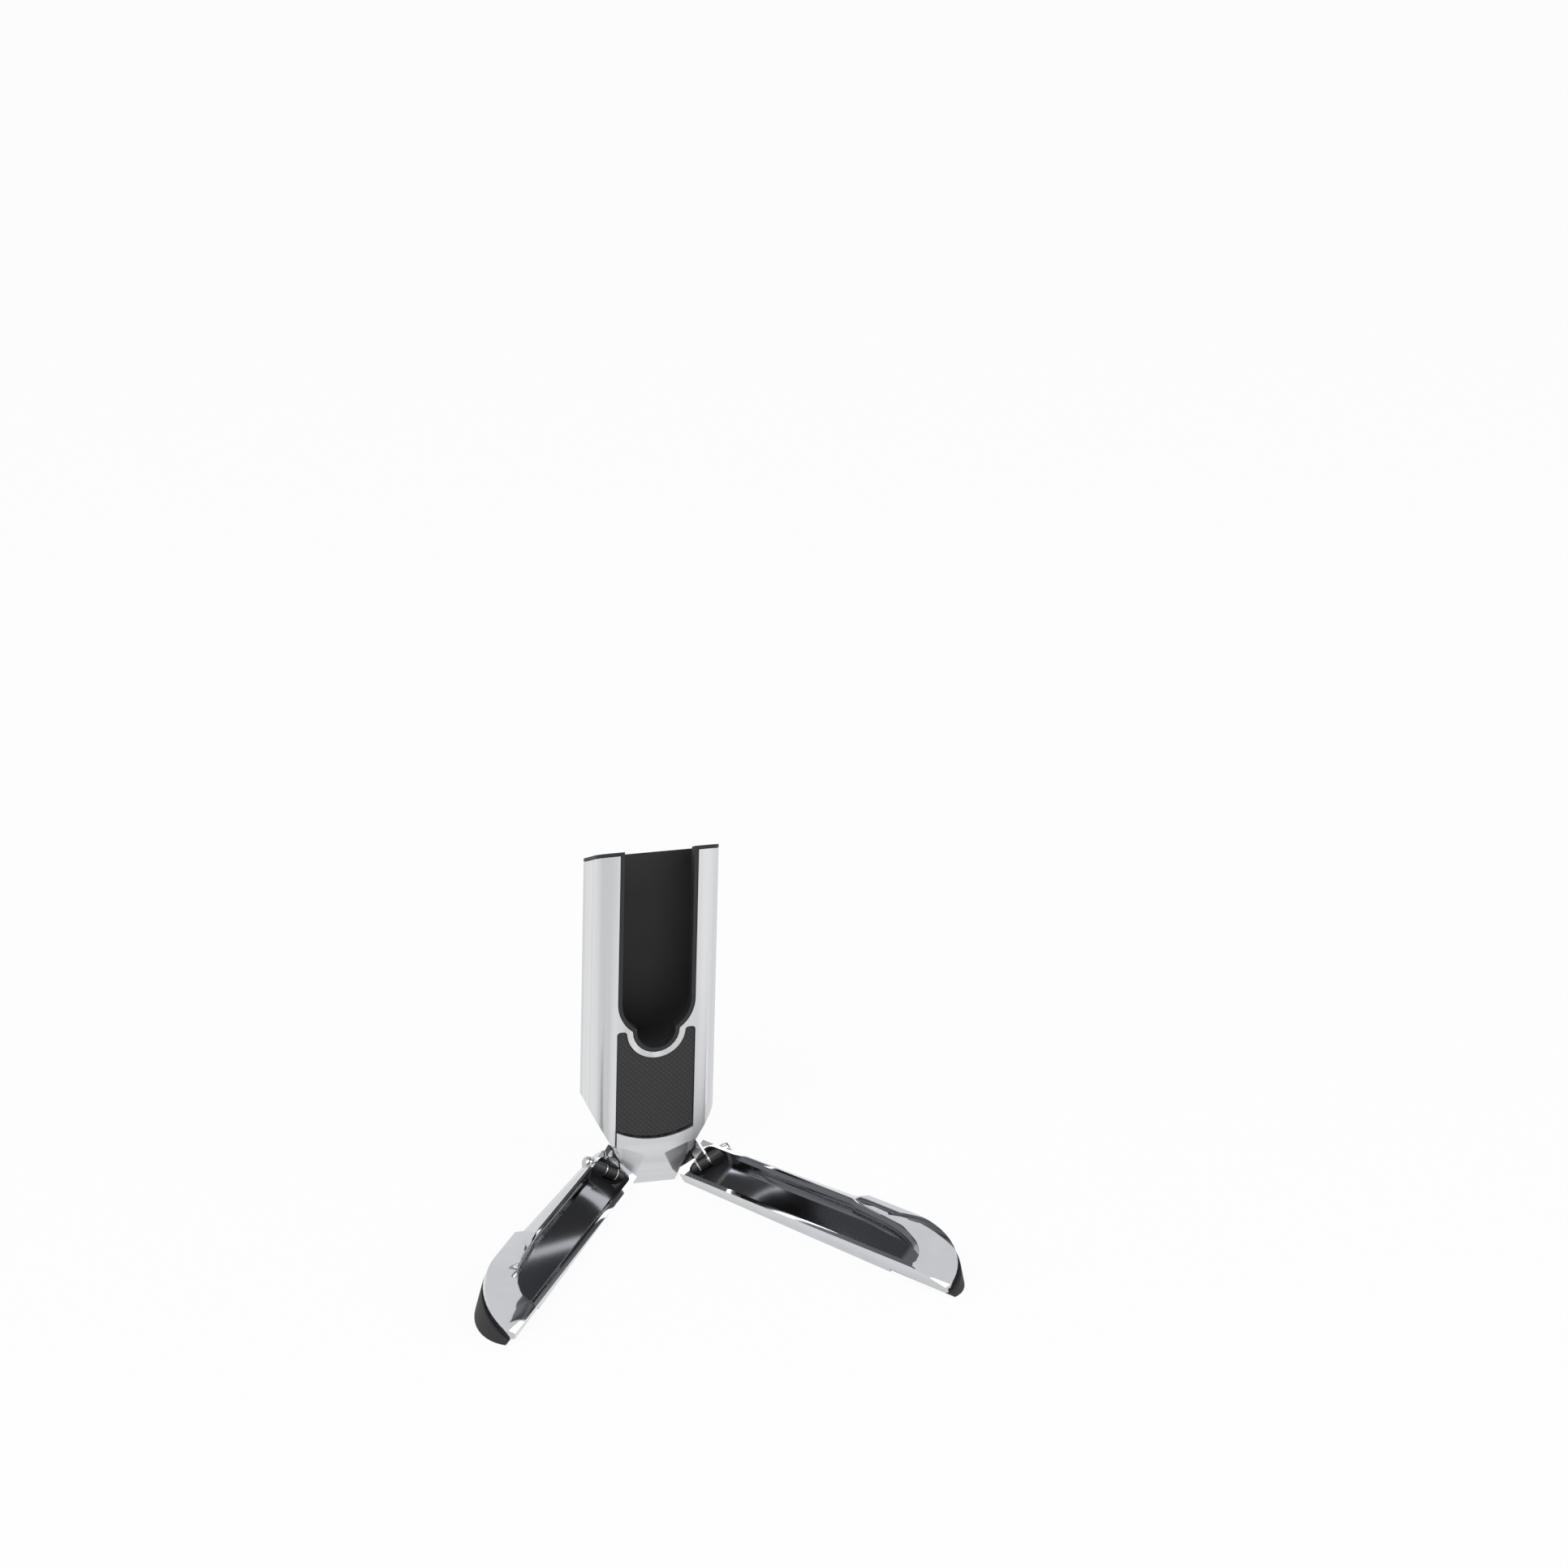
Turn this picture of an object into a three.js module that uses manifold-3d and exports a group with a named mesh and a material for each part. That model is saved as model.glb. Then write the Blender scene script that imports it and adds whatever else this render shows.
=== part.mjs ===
// A folding stand that holds a bicycle up by its crank arm.
// A C-section cradle takes the end of the arm, and two dished legs on slanted pins splay out in front of it.
// The floor is z = 0, the cradle opens towards -Y, and +X is to its right when it is seen from the front.
import * as THREE from "three";
import { mergeVertices } from "three/addons/utils/BufferGeometryUtils.js";
import Module from "manifold-3d";

const wasm = await Module();
wasm.setup();

// Lengths are in millimetres and angles in degrees
const fit = 0.25; // gap between two pieces that seat on each other
const runningFit = 0.06; // radial gap between a pin and its bore
const overrun = 1; // how far a cutting tool passes the face that it cuts
const farReach = 400; // size of the blocks that trim a piece along a plane

// Cradle shell, an extruded channel with two lips
const cradle = {
  width: 44.4,
  front: 10,
  back: 12,
  height: 127.5,
  wall: 2.4,
  frontRadius: 4.5,
  backRadius: 2,
  innerRadius: 0.8,
  topSlope: 27.5,
  clipTop: 27,
  clipBottom: 14.6,
  clipWidth: 30.8,
};

// The crank arm's round end is seen through the mouth, with a smaller pocket under it for the pedal's boss
const mouth = { width: 28.1, bottomHeight: 56.25, pocketRadius: 8.5, pocketHeight: 59 };

const liner = { thickness: 1.5, capThickness: 1.25 };

const panel = {
  width: 28.4,
  thickness: 2,
  recess: 0.4,
  rim: 2.1,
  topHeight: 59.3,
  topRadius: 1.3,
  sideHeight: 20.9,
  bottomSag: 3.6,
  pegRadius: 1.6,
  pegLength: 3,
  pegSpacing: 16,
  pegHeight: 35,
};

const hub = {
  bottomWidth: 15,
  tongueRaise: 1.2,
  plugShoulder: 1.2,
  seatHeight: 58,
};

const rearScrew = {
  radius: 1.5,
  headRadius: 3,
  headDepth: 1.5,
  length: 8,
  socketRadius: 1.15,
  socketDepth: 1,
  spacing: 18,
  hubDrop: 4.7,
  seatHeight: 36,
};

// Hinge: its pin lies in a plane parallel to the cradle's front and rises outwards
const hinge = {
  out: 17,
  forward: 4.5,
  height: 7.2,
  slant: 29,
  fold: 106,
  barrelRadius: 2.3,
  lugWidth: 3.6,
  lugEmbed: 4.5,
  lugRise: 6.2,
  webWidth: 9,
  webThickness: 3.6,
};

const pin = { radius: 1.2, headRadius: 2.1, headThickness: 1, blindWall: 1.6 };
const bush = { wall: 0.45, flangeRadius: 2.2, flangeThickness: 0.4 };
const washer = { thickness: 0.35, dish: 0.25, radius: 2.2 };

// Leg, measured when folded up: reaches are across it from the pin's middle, stations are along it
const leg = {
  depth: 8,
  rimAboveAxis: 3,
  rootStation: -3.9,
  innerReach: 8.5,
  bevelDrop: 5,
  shoulderStation: 65,
  shoulderRamp: 2.5,
  tipCorner: 2,
  noseClearance: 1.5,
};
const legRim = {
  root: 6.8,
  waist: 7.4,
  shoulder: 7.4,
  nose: 6.3,
  flare: 0,
  noseStation: 80,
  tipStation: 106,
};
const legEdge = {
  root: 8.5,
  waist: 11,
  shoulder: 13,
  nose: 13.1,
  flare: 0,
  noseStation: 89,
  tipStation: 119.5,
};
const legSole = {
  root: 8,
  waist: 10.5,
  shoulder: 12.5,
  nose: 12.6,
  flare: 1.6,
  noseStation: 89,
  tipStation: 119,
};
const bevelSwellShare = 0.62; // how far the bevel's middle has spread by half of its drop
const dish = {
  depth: 6.2,
  frontWall: 1.5,
  backWall: 0.9,
  rootWall: 2.6,
  noseWall: 1.2,
  rootRound: 3.5,
  inset: 2.2,
};
const dishDepthShares = [0, 0.45, 0.8, 1];
const dishInsetShares = [0, 0.16, 0.5, 1];

const footPad = {
  draft: 13,
  toe: 1.5,
  startStation: 93,
  outerStart: 84,
  grooveFromTip: 7,
  grooveSpacing: 5,
  grooveWidth: 1.2,
  grooveDepth: 0.8,
  grooveHalf: 4.2,
  grooveCount: 2,
};
const footScrew = {
  radius: 1.2,
  headRadius: 2.3,
  headHeight: 1.4,
  grip: 2,
  bite: 2.6,
  socketRadius: 0.9,
  socketDepth: 0.8,
};
const footScrewStations = [102, 108.5];
const footScrewReaches = [3.6, -1.2];

const curveSteps = 14;
const latheSteps = 28;
const cornerSteps = 5;
const noseSteps = 14;

const satinSilver = new THREE.MeshStandardMaterial({ color: 0xd4d6d8, roughness: 0.38, metalness: 0.9 });
const polishedChrome = new THREE.MeshStandardMaterial({ color: 0xe6e8ea, roughness: 0.06, metalness: 1 });
const blackElastomer = new THREE.MeshStandardMaterial({ color: 0x141416, roughness: 0.75, metalness: 0 });
const texturedBlack = new THREE.MeshStandardMaterial({ color: 0x1d1d20, roughness: 0.55, metalness: 0 });
const mouldedGrey = new THREE.MeshStandardMaterial({ color: 0x3a3b3e, roughness: 0.6, metalness: 0 });
const blackRubber = new THREE.MeshStandardMaterial({ color: 0x1b1b1d, roughness: 0.85, metalness: 0 });
const plainSteel = new THREE.MeshStandardMaterial({ color: 0xa9abad, roughness: 0.32, metalness: 1 });
const polymer = new THREE.MeshStandardMaterial({ color: 0xd9d4c4, roughness: 0.5, metalness: 0 });

// Sizes that several pieces share
const boreHalf = cradle.width / 2 - cradle.wall;
const boreFront = cradle.wall - cradle.front;
const boreBack = cradle.back - cradle.wall;
const mouthRadius = mouth.width / 2;
const mouthCentre = mouth.bottomHeight + mouthRadius;
const clipRise = (cradle.clipTop - cradle.clipBottom) / ((cradle.width - cradle.clipWidth) / 2);
const plugLow = cradle.clipBottom + fit + clipRise * (boreHalf - cradle.clipWidth / 2);
const plugTop = plugLow + hub.plugShoulder;
const hubScrewHeight = plugTop - rearScrew.hubDrop;
const windowHalf = panel.width / 2;
const sagRadius = (windowHalf ** 2 + panel.bottomSag ** 2) / (2 * panel.bottomSag);
const sagCentre = panel.sideHeight - panel.bottomSag + sagRadius;
const topSlope = Math.tan(THREE.MathUtils.degToRad(cradle.topSlope));
const slant = THREE.MathUtils.degToRad(hinge.slant);
const fold = THREE.MathUtils.degToRad(hinge.fold);
const lugHalf = hinge.lugWidth / 2;
const innerEarStart = -(lugHalf + fit + bush.flangeThickness);
const innerEarEnd = -leg.innerReach / Math.cos(slant);
const outerEarStart = lugHalf + fit + washer.thickness + washer.dish;
const outerEarEnd = legEdge.root / Math.cos(slant);
const boreRadius = pin.radius + runningFit;
const bushRadius = boreRadius + bush.wall;
const legSoleY = leg.rimAboveAxis - leg.depth;

// Turns a closed geometry into a solid that can be joined and cut
function solidOf(geometry) {
  const bare = geometry.index ? geometry.toNonIndexed() : geometry.clone();
  bare.deleteAttribute("normal");
  bare.deleteAttribute("uv");
  const merged = mergeVertices(bare, fit / 1000);
  return new wasm.Manifold(
    new wasm.Mesh({
      numProp: 3,
      vertProperties: new Float32Array(merged.attributes.position.array),
      triVerts: new Uint32Array(merged.index.array),
    }),
  );
}

// Turns a solid back into a flat-shaded geometry
function geometryOf(solid) {
  const mesh = solid.getMesh();
  const geometry = new THREE.BufferGeometry();
  geometry.setAttribute("position", new THREE.BufferAttribute(new Float32Array(mesh.vertProperties), 3));
  geometry.setIndex(new THREE.BufferAttribute(new Uint32Array(mesh.triVerts), 1));
  const flat = geometry.toNonIndexed();
  flat.computeVertexNormals();
  return flat;
}

// A shape drawn in X and Z, extruded along Y from the near face to the far one
function alongY(shape, near, far) {
  const geometry = new THREE.ExtrudeGeometry(shape, {
    depth: far - near,
    bevelEnabled: false,
    curveSegments: curveSteps,
  });
  return solidOf(geometry.rotateX(Math.PI / 2).translate(0, far, 0));
}

// A shape drawn in X and Y, extruded along Z
function alongZ(shape, low, high) {
  const geometry = new THREE.ExtrudeGeometry(shape, {
    depth: high - low,
    bevelEnabled: false,
    curveSegments: cornerSteps,
  });
  return solidOf(geometry.translate(0, 0, low));
}

function block(lowX, highX, lowY, highY, lowZ, highZ) {
  const geometry = new THREE.BoxGeometry(highX - lowX, highY - lowY, highZ - lowZ);
  return geometry.translate((lowX + highX) / 2, (lowY + highY) / 2, (lowZ + highZ) / 2);
}

// A profile of radius and height pairs, revolved about Z
function revolved(profile) {
  const points = profile.map(([radius, height]) => new THREE.Vector2(radius, height));
  return new THREE.LatheGeometry(points, latheSteps).rotateX(Math.PI / 2);
}

function rod(radius, low, high) {
  return revolved([
    [0, low],
    [radius, low],
    [radius, high],
    [0, high],
  ]);
}

function hexagonalSocket(radius, low, high) {
  const prism = new THREE.CylinderGeometry(radius, radius, high - low, 6);
  return prism.rotateX(Math.PI / 2).translate(0, 0, (low + high) / 2);
}

function polygon(points) {
  return new THREE.Shape(points.map(([x, y]) => new THREE.Vector2(x, y)));
}

// The plan of the cradle or of its bore, grown by a margin, with its own radii at the front and the back
function cradlePlan(half, front, back, frontRadius, backRadius) {
  const shape = new THREE.Shape();
  shape.absarc(half - frontRadius, frontRadius + front, frontRadius, -Math.PI / 2, 0);
  shape.absarc(half - backRadius, back - backRadius, backRadius, 0, Math.PI / 2);
  shape.absarc(backRadius - half, back - backRadius, backRadius, Math.PI / 2, Math.PI);
  shape.absarc(frontRadius - half, frontRadius + front, frontRadius, Math.PI, 1.5 * Math.PI);
  return shape;
}

// A slot that is open at the top and ends in a half circle
function roundSlot(radius, top) {
  const shape = new THREE.Shape();
  shape.moveTo(-radius, top);
  shape.lineTo(-radius, mouthCentre);
  shape.absarc(0, mouthCentre, radius, Math.PI, 2 * Math.PI);
  shape.lineTo(radius, top);
  return shape;
}

// The mouth's outline, drawn in by an inset, cut from the near face to the far one
function mouthCut(inset, top, near, far) {
  const slot = alongY(roundSlot(mouthRadius - inset, top), near, far);
  const round = new THREE.Shape();
  round.absarc(0, mouth.pocketHeight, mouth.pocketRadius - inset, 0, 2 * Math.PI);
  return slot.add(alongY(round, near, far));
}

// Everything above the arm tops, which slope down to the back
function aboveTop(lift) {
  const reach = cradle.back + overrun;
  const frontTop = cradle.height + lift + topSlope * overrun;
  const backTop = cradle.height + lift - topSlope * (cradle.front + reach);
  const side = polygon([
    [-cradle.front - overrun, frontTop],
    [-cradle.front - overrun, frontTop + cradle.height],
    [reach, frontTop + cradle.height],
    [reach, backTop],
  ]);
  const geometry = new THREE.ExtrudeGeometry(side, { depth: 2 * cradle.width, bevelEnabled: false });
  const across = new THREE.Matrix4().makeBasis(
    new THREE.Vector3(0, 1, 0),
    new THREE.Vector3(0, 0, 1),
    new THREE.Vector3(1, 0, 0),
  );
  return solidOf(geometry.applyMatrix4(across).translate(-cradle.width, 0, 0));
}

// The shell's front outline: straight sides, clipped inwards at the lower end
function shellOutline() {
  const half = cradle.width / 2 + overrun;
  const low = cradle.clipWidth / 2;
  const sideHeight = cradle.clipTop + clipRise * overrun;
  const top = cradle.height + overrun;
  return polygon([
    [-low, cradle.clipBottom],
    [low, cradle.clipBottom],
    [half, sideHeight],
    [half, top],
    [-half, top],
    [-half, sideHeight],
  ]);
}

// The window under the cup, with a rounded lobe on each side of the pocket's rim
function windowOutline(inset, low) {
  const half = windowHalf - inset;
  const top = panel.topHeight - inset;
  const radius = panel.topRadius;
  const rimRadius = mouth.pocketRadius + panel.rim + inset;
  const shoulder = top - radius;
  const rimAngle = Math.asin((mouth.pocketHeight - shoulder) / rimRadius);
  const rimHalf = rimRadius * Math.cos(rimAngle);
  const lobe = Math.min(radius, (half - rimHalf) / 2);
  const shape = new THREE.Shape();
  shape.moveTo(-half, low);
  shape.lineTo(half, low);
  shape.lineTo(half, top - lobe);
  shape.absarc(half - lobe, top - lobe, lobe, 0, Math.PI / 2);
  shape.absarc(rimHalf + lobe, top - lobe, lobe, Math.PI / 2, Math.PI);
  shape.absarc(0, mouth.pocketHeight, rimRadius, -rimAngle, rimAngle - Math.PI, true);
  shape.absarc(-rimHalf - lobe, top - lobe, lobe, 0, Math.PI / 2);
  shape.absarc(lobe - half, top - lobe, lobe, Math.PI / 2, Math.PI);
  return shape;
}

function atHinge(geometry) {
  return geometry.translate(hinge.out, -cradle.front - hinge.forward, hinge.height);
}

function bothSides(solid) {
  const mirrored = solidOf(mirroredGeometry(geometryOf(solid)));
  return [solid, mirrored];
}

function mirroredGeometry(geometry) {
  const source = geometry.attributes.position;
  const points = new Float32Array(source.array.length);
  for (let face = 0; face < source.count; face += 3) {
    [0, 2, 1].forEach((from, to) => {
      points[3 * (face + to)] = -source.getX(face + from);
      points[3 * (face + to) + 1] = source.getY(face + from);
      points[3 * (face + to) + 2] = source.getZ(face + from);
    });
  }
  return new THREE.BufferGeometry().setAttribute("position", new THREE.BufferAttribute(points, 3));
}

// Turns hinge hardware, made along Z, onto the slanted pin; its X then points at the cradle
function ontoPin(geometry) {
  const alongPin = new THREE.Vector3(Math.cos(slant), 0, Math.sin(slant));
  const upright = new THREE.Vector3(-Math.sin(slant), 0, Math.cos(slant));
  const basis = new THREE.Matrix4().makeBasis(new THREE.Vector3(0, 1, 0), upright, alongPin);
  return geometry.applyMatrix4(basis);
}

// The turn that takes a leg from folded up to splayed out, about its pin
function splayTurn() {
  const alongPin = new THREE.Vector3(Math.cos(slant), 0, Math.sin(slant));
  return new THREE.Quaternion().setFromAxisAngle(alongPin, fold);
}

function rearScrewPlaces() {
  const half = rearScrew.spacing / 2;
  return [
    { name: "hub_screw_1", x: -half, z: hubScrewHeight },
    { name: "hub_screw_2", x: half, z: hubScrewHeight },
    { name: "seat_screw_1", x: -half, z: rearScrew.seatHeight },
    { name: "seat_screw_2", x: half, z: rearScrew.seatHeight },
  ];
}

// Points a piece made along Z out of the back, with its zero on the back face
function atBack(geometry, place) {
  return geometry.rotateX(-Math.PI / 2).translate(place.x, cradle.back, place.z);
}

function cradleShell() {
  const half = cradle.width / 2;
  const plan = cradlePlan(half, -cradle.front, cradle.back, cradle.frontRadius, cradle.backRadius);
  const borePlan = cradlePlan(boreHalf, boreFront, boreBack, cradle.innerRadius, cradle.innerRadius);
  let shell = alongZ(plan, 0, cradle.height);
  shell = shell.subtract(alongZ(borePlan, -overrun, cradle.height + overrun));
  shell = shell.subtract(mouthCut(0, cradle.height + overrun, -cradle.front - overrun, 0));
  shell = shell.subtract(alongY(windowOutline(0, -overrun), -cradle.front - overrun, 0));
  shell = shell.intersect(alongY(shellOutline(), -cradle.front - overrun, cradle.back + overrun));
  shell = shell.subtract(aboveTop(0));
  for (const place of rearScrewPlaces()) {
    const hole = revolved([
      [0, -cradle.wall - overrun],
      [rearScrew.radius + fit, -cradle.wall - overrun],
      [rearScrew.radius + fit, -rearScrew.headDepth - fit],
      [rearScrew.headRadius + fit, -fit],
      [rearScrew.headRadius + fit, overrun],
      [0, overrun],
    ]);
    shell = shell.subtract(solidOf(atBack(hole, place)));
  }
  return shell;
}

// Lining of the channel, with a strip along the mouth's edge and a cap over the arm tops
function cradleLiner() {
  const top = cradle.height + liner.thickness;
  const half = cradle.width / 2;
  const skin = alongY(roundSlot(boreHalf - fit, top), boreFront + fit, boreBack - fit);
  const strip = mouthCut(fit, top, -cradle.front, 0);
  const plan = cradlePlan(half, -cradle.front, cradle.back, cradle.frontRadius, cradle.backRadius);
  const cap = alongZ(plan, 0, top).intersect(aboveTop(fit));
  const clearHalf = boreHalf - liner.thickness;
  const space = alongY(
    roundSlot(clearHalf, top + overrun),
    boreFront + liner.thickness,
    boreBack - liner.thickness,
  );
  const open = mouthCut(liner.thickness, top + overrun, -cradle.front - overrun, 0);
  const lining = skin.add(strip).add(cap).subtract(space).subtract(open);
  return lining.subtract(aboveTop(fit + liner.capThickness));
}

// Moulded block that carries the round end of the crank arm
function seatBlock() {
  const half = boreHalf - fit;
  const near = boreFront + fit;
  const far = boreBack - fit;
  let seat = solidOf(block(-half, half, near, far, plugTop + fit, hub.seatHeight));
  seat = seat.subtract(alongY(roundSlot(boreHalf, cradle.height), near - overrun, far + overrun));
  seat = seat.subtract(mouthCut(0, cradle.height, near - overrun, 0));
  for (const place of rearScrewPlaces()) {
    const hole = rod(rearScrew.radius + fit, -rearScrew.length - overrun, 0);
    seat = seat.subtract(solidOf(atBack(hole, place)));
  }
  for (const side of [-1, 1]) {
    const hole = rod(panel.pegRadius + fit, 0, panel.pegLength + overrun).rotateX(-Math.PI / 2);
    hole.translate((side * panel.pegSpacing) / 2, near - overrun / 2, panel.pegHeight);
    seat = seat.subtract(solidOf(hole));
  }
  return seat;
}

// What lies above the arc that ends the panel at the bottom
function aboveSag(near, far) {
  const round = new THREE.Shape();
  round.absarc(0, sagCentre, sagRadius, 0, 2 * Math.PI);
  const above = polygon([
    [-cradle.width, sagCentre],
    [cradle.width, sagCentre],
    [cradle.width, cradle.height],
    [-cradle.width, cradle.height],
  ]);
  return alongY(round, near, far).add(alongY(above, near, far));
}

function frontPanel() {
  const near = panel.recess - cradle.front;
  const far = near + panel.thickness;
  let plate = alongY(windowOutline(fit, 0), near, far);
  plate = plate.intersect(aboveSag(near - overrun, far + overrun));
  for (const side of [-1, 1]) {
    const peg = rod(panel.pegRadius, -fit, panel.pegLength).rotateX(-Math.PI / 2);
    peg.translate((side * panel.pegSpacing) / 2, far, panel.pegHeight);
    plate = plate.add(solidOf(peg));
  }
  return plate;
}

// One hub lug: a barrel for the bush, and an arm whose underside stops the splayed leg
function hingeLug() {
  const radius = hinge.barrelRadius;
  const deep = hinge.forward + hinge.lugEmbed;
  const front = hinge.forward - fit;
  const alongLeg = (distance, level) => [
    level * Math.cos(fold) + distance * Math.sin(fold),
    level * Math.sin(fold) - distance * Math.cos(fold),
  ];
  const under = alongLeg((deep + radius * Math.cos(fold)) / Math.sin(fold), -radius);
  const over = alongLeg((front - leg.rimAboveAxis * Math.cos(fold)) / Math.sin(fold), leg.rimAboveAxis);
  const arm = polygon([
    alongLeg(0, -radius),
    under,
    [deep, hinge.lugRise],
    [front, hinge.lugRise],
    over,
    alongLeg(0, leg.rimAboveAxis),
  ]);
  const extruded = new THREE.ExtrudeGeometry(arm, { depth: hinge.lugWidth, bevelEnabled: false });
  const armSolid = solidOf(atHinge(ontoPin(extruded.translate(0, 0, -lugHalf))));
  const barrel = solidOf(atHinge(ontoPin(rod(radius, -lugHalf, lugHalf))));
  const web = block(deep - hinge.webThickness, deep, under[1], hinge.lugRise, -hinge.webWidth, lugHalf);
  return armSolid.add(barrel).add(solidOf(atHinge(ontoPin(web))));
}

// The wedge-shaped hub: a plug inside the shell, a wedge under it, a raised tongue and two lugs
function hingeBlock() {
  const inside = boreHalf - fit;
  const clip = cradle.clipWidth / 2 - fit;
  const seam = cradle.clipBottom - fit;
  const bottom = hub.bottomWidth / 2;
  const plugOutline = polygon([
    [-clip, seam],
    [clip, seam],
    [inside, plugLow],
    [inside, plugTop],
    [-inside, plugTop],
    [-inside, plugLow],
  ]);
  const wedgeOutline = polygon([
    [-bottom, 0],
    [bottom, 0],
    [clip, seam],
    [-clip, seam],
  ]);
  const tongueHalf = windowHalf - fit;
  const tongueAngle = Math.asin(tongueHalf / (sagRadius + fit));
  const tongueOutline = new THREE.Shape();
  tongueOutline.moveTo(-bottom, 0);
  tongueOutline.lineTo(bottom, 0);
  tongueOutline.lineTo(tongueHalf, seam);
  tongueOutline.absarc(
    0,
    sagCentre,
    sagRadius + fit,
    -Math.PI / 2 + tongueAngle,
    -Math.PI / 2 - tongueAngle,
    true,
  );
  tongueOutline.lineTo(-tongueHalf, seam);
  let body = alongY(plugOutline, boreFront + fit, boreBack - fit);
  body = body.add(alongY(wedgeOutline, -cradle.front, cradle.back));
  body = body.add(alongY(tongueOutline, -cradle.front - hub.tongueRaise, 0));
  for (const lug of bothSides(hingeLug())) body = body.add(lug);
  const borer = rod(bushRadius + runningFit, -lugHalf - overrun, lugHalf + overrun);
  const bore = solidOf(atHinge(ontoPin(borer)));
  for (const hole of bothSides(bore)) body = body.subtract(hole);
  for (const place of rearScrewPlaces()) {
    const hole = rod(rearScrew.radius + fit, -rearScrew.length - overrun, 0);
    body = body.subtract(solidOf(atBack(hole, place)));
  }
  return body;
}

// Countersunk screw with its head flush with the back face
function countersunkScrew() {
  const body = revolved([
    [0, -rearScrew.length],
    [rearScrew.radius - fit, -rearScrew.length],
    [rearScrew.radius, fit - rearScrew.length],
    [rearScrew.radius, -rearScrew.headDepth],
    [rearScrew.headRadius, -fit],
    [rearScrew.headRadius, 0],
    [0, 0],
  ]);
  return solidOf(body).subtract(
    solidOf(hexagonalSocket(rearScrew.socketRadius, -rearScrew.socketDepth, overrun)),
  );
}

// One outline of the leg, drawn up the outer edge, round the nose and down the straight inner edge
function legOutline(edge, inner, rootOffset, rootRound) {
  const tipInner = inner + edge.flare;
  const tipX = tipInner - leg.tipCorner;
  const rootInner = new THREE.Vector2(-inner, leg.rootStation + rootOffset);
  const rootOuter = new THREE.Vector2(edge.root, leg.rootStation + rootOffset);
  const path = new THREE.Path();
  const upInner = rootInner.clone().add(new THREE.Vector2(0, rootRound));
  const alongInner = rootInner.clone().lerp(rootOuter, rootRound / rootInner.distanceTo(rootOuter));
  const alongOuter = rootOuter.clone().lerp(rootInner, rootRound / rootInner.distanceTo(rootOuter));
  const upOuter = rootOuter.clone().add(new THREE.Vector2(0, rootRound));
  path.moveTo(upInner.x, upInner.y);
  path.quadraticCurveTo(rootInner.x, rootInner.y, alongInner.x, alongInner.y);
  path.lineTo(alongOuter.x, alongOuter.y);
  path.quadraticCurveTo(rootOuter.x, rootOuter.y, upOuter.x, upOuter.y);
  path.lineTo(edge.waist, leg.shoulderStation);
  path.lineTo(edge.shoulder, leg.shoulderStation + leg.shoulderRamp);
  path.lineTo(edge.nose, edge.noseStation);
  const noseRun = edge.tipStation - edge.noseStation;
  for (let step = 1; step <= noseSteps; step += 1) {
    const turn = (step / noseSteps) * (Math.PI / 2);
    path.lineTo(-tipX + (edge.nose + tipX) * Math.cos(turn), edge.noseStation + noseRun * Math.sin(turn));
  }
  path.lineTo(-tipInner, edge.tipStation - leg.tipCorner / 2);
  return path.getPoints(cornerSteps);
}

// A closed geometry through outlines of equal point count, stacked along Y from the lowest up
function stacked(levels) {
  const count = levels[0].points.length;
  const positions = levels.flatMap(({ y, points }) => points.flatMap((point) => [point.x, y, point.y]));
  const faces = [];
  for (let level = 0; level + 1 < levels.length; level += 1) {
    for (let index = 0; index < count; index += 1) {
      const next = (index + 1) % count;
      const low = level * count;
      const high = low + count;
      faces.push(low + index, high + next, low + next, low + index, high + index, high + next);
    }
  }
  const last = (levels.length - 1) * count;
  for (const [a, b, c] of THREE.ShapeUtils.triangulateShape(levels[0].points, [])) faces.push(a, b, c);
  for (const [a, b, c] of THREE.ShapeUtils.triangulateShape(levels[levels.length - 1].points, [])) {
    faces.push(last + a, last + c, last + b);
  }
  const geometry = new THREE.BufferGeometry();
  geometry.setAttribute("position", new THREE.Float32BufferAttribute(positions, 3));
  geometry.setIndex(faces);
  return geometry;
}

function blended(from, to, share) {
  return from.map((point, index) => point.clone().lerp(to[index], share));
}

// The leg's outer body: an upright front wall, and a bevel that widens from the root to the nose
function legBody() {
  const rim = legOutline(legRim, leg.innerReach, 0, fit);
  const edge = legOutline(legEdge, leg.innerReach, 0, fit);
  const sole = legOutline(legSole, leg.innerReach, 0, fit);
  const top = leg.rimAboveAxis;
  const levels = [
    { y: legSoleY, points: sole },
    { y: top - leg.bevelDrop, points: edge },
    { y: top - leg.bevelDrop / 2, points: blended(rim, edge, bevelSwellShare) },
    { y: top, points: rim },
  ];
  return solidOf(stacked(levels));
}

// The scooped dish: its walls draw in towards a rounded floor
function dishCut() {
  const outlineAt = (inset) =>
    legOutline(
      {
        root: legRim.root - dish.backWall - inset,
        waist: legRim.waist - dish.backWall - inset,
        shoulder: legRim.shoulder - dish.backWall - inset,
        nose: legRim.nose - dish.backWall - inset,
        flare: 0,
        noseStation: legRim.noseStation,
        tipStation: legRim.tipStation - dish.noseWall - inset,
      },
      leg.innerReach - dish.frontWall - inset / 2,
      dish.rootWall + inset,
      dish.rootRound,
    );
  const top = leg.rimAboveAxis;
  const levels = dishDepthShares.map((share, index) => ({
    y: top - share * dish.depth,
    points: outlineAt(dishInsetShares[index] * dish.inset),
  }));
  levels.reverse();
  levels.push({ y: top + overrun, points: outlineAt(0) });
  return solidOf(stacked(levels));
}

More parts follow.
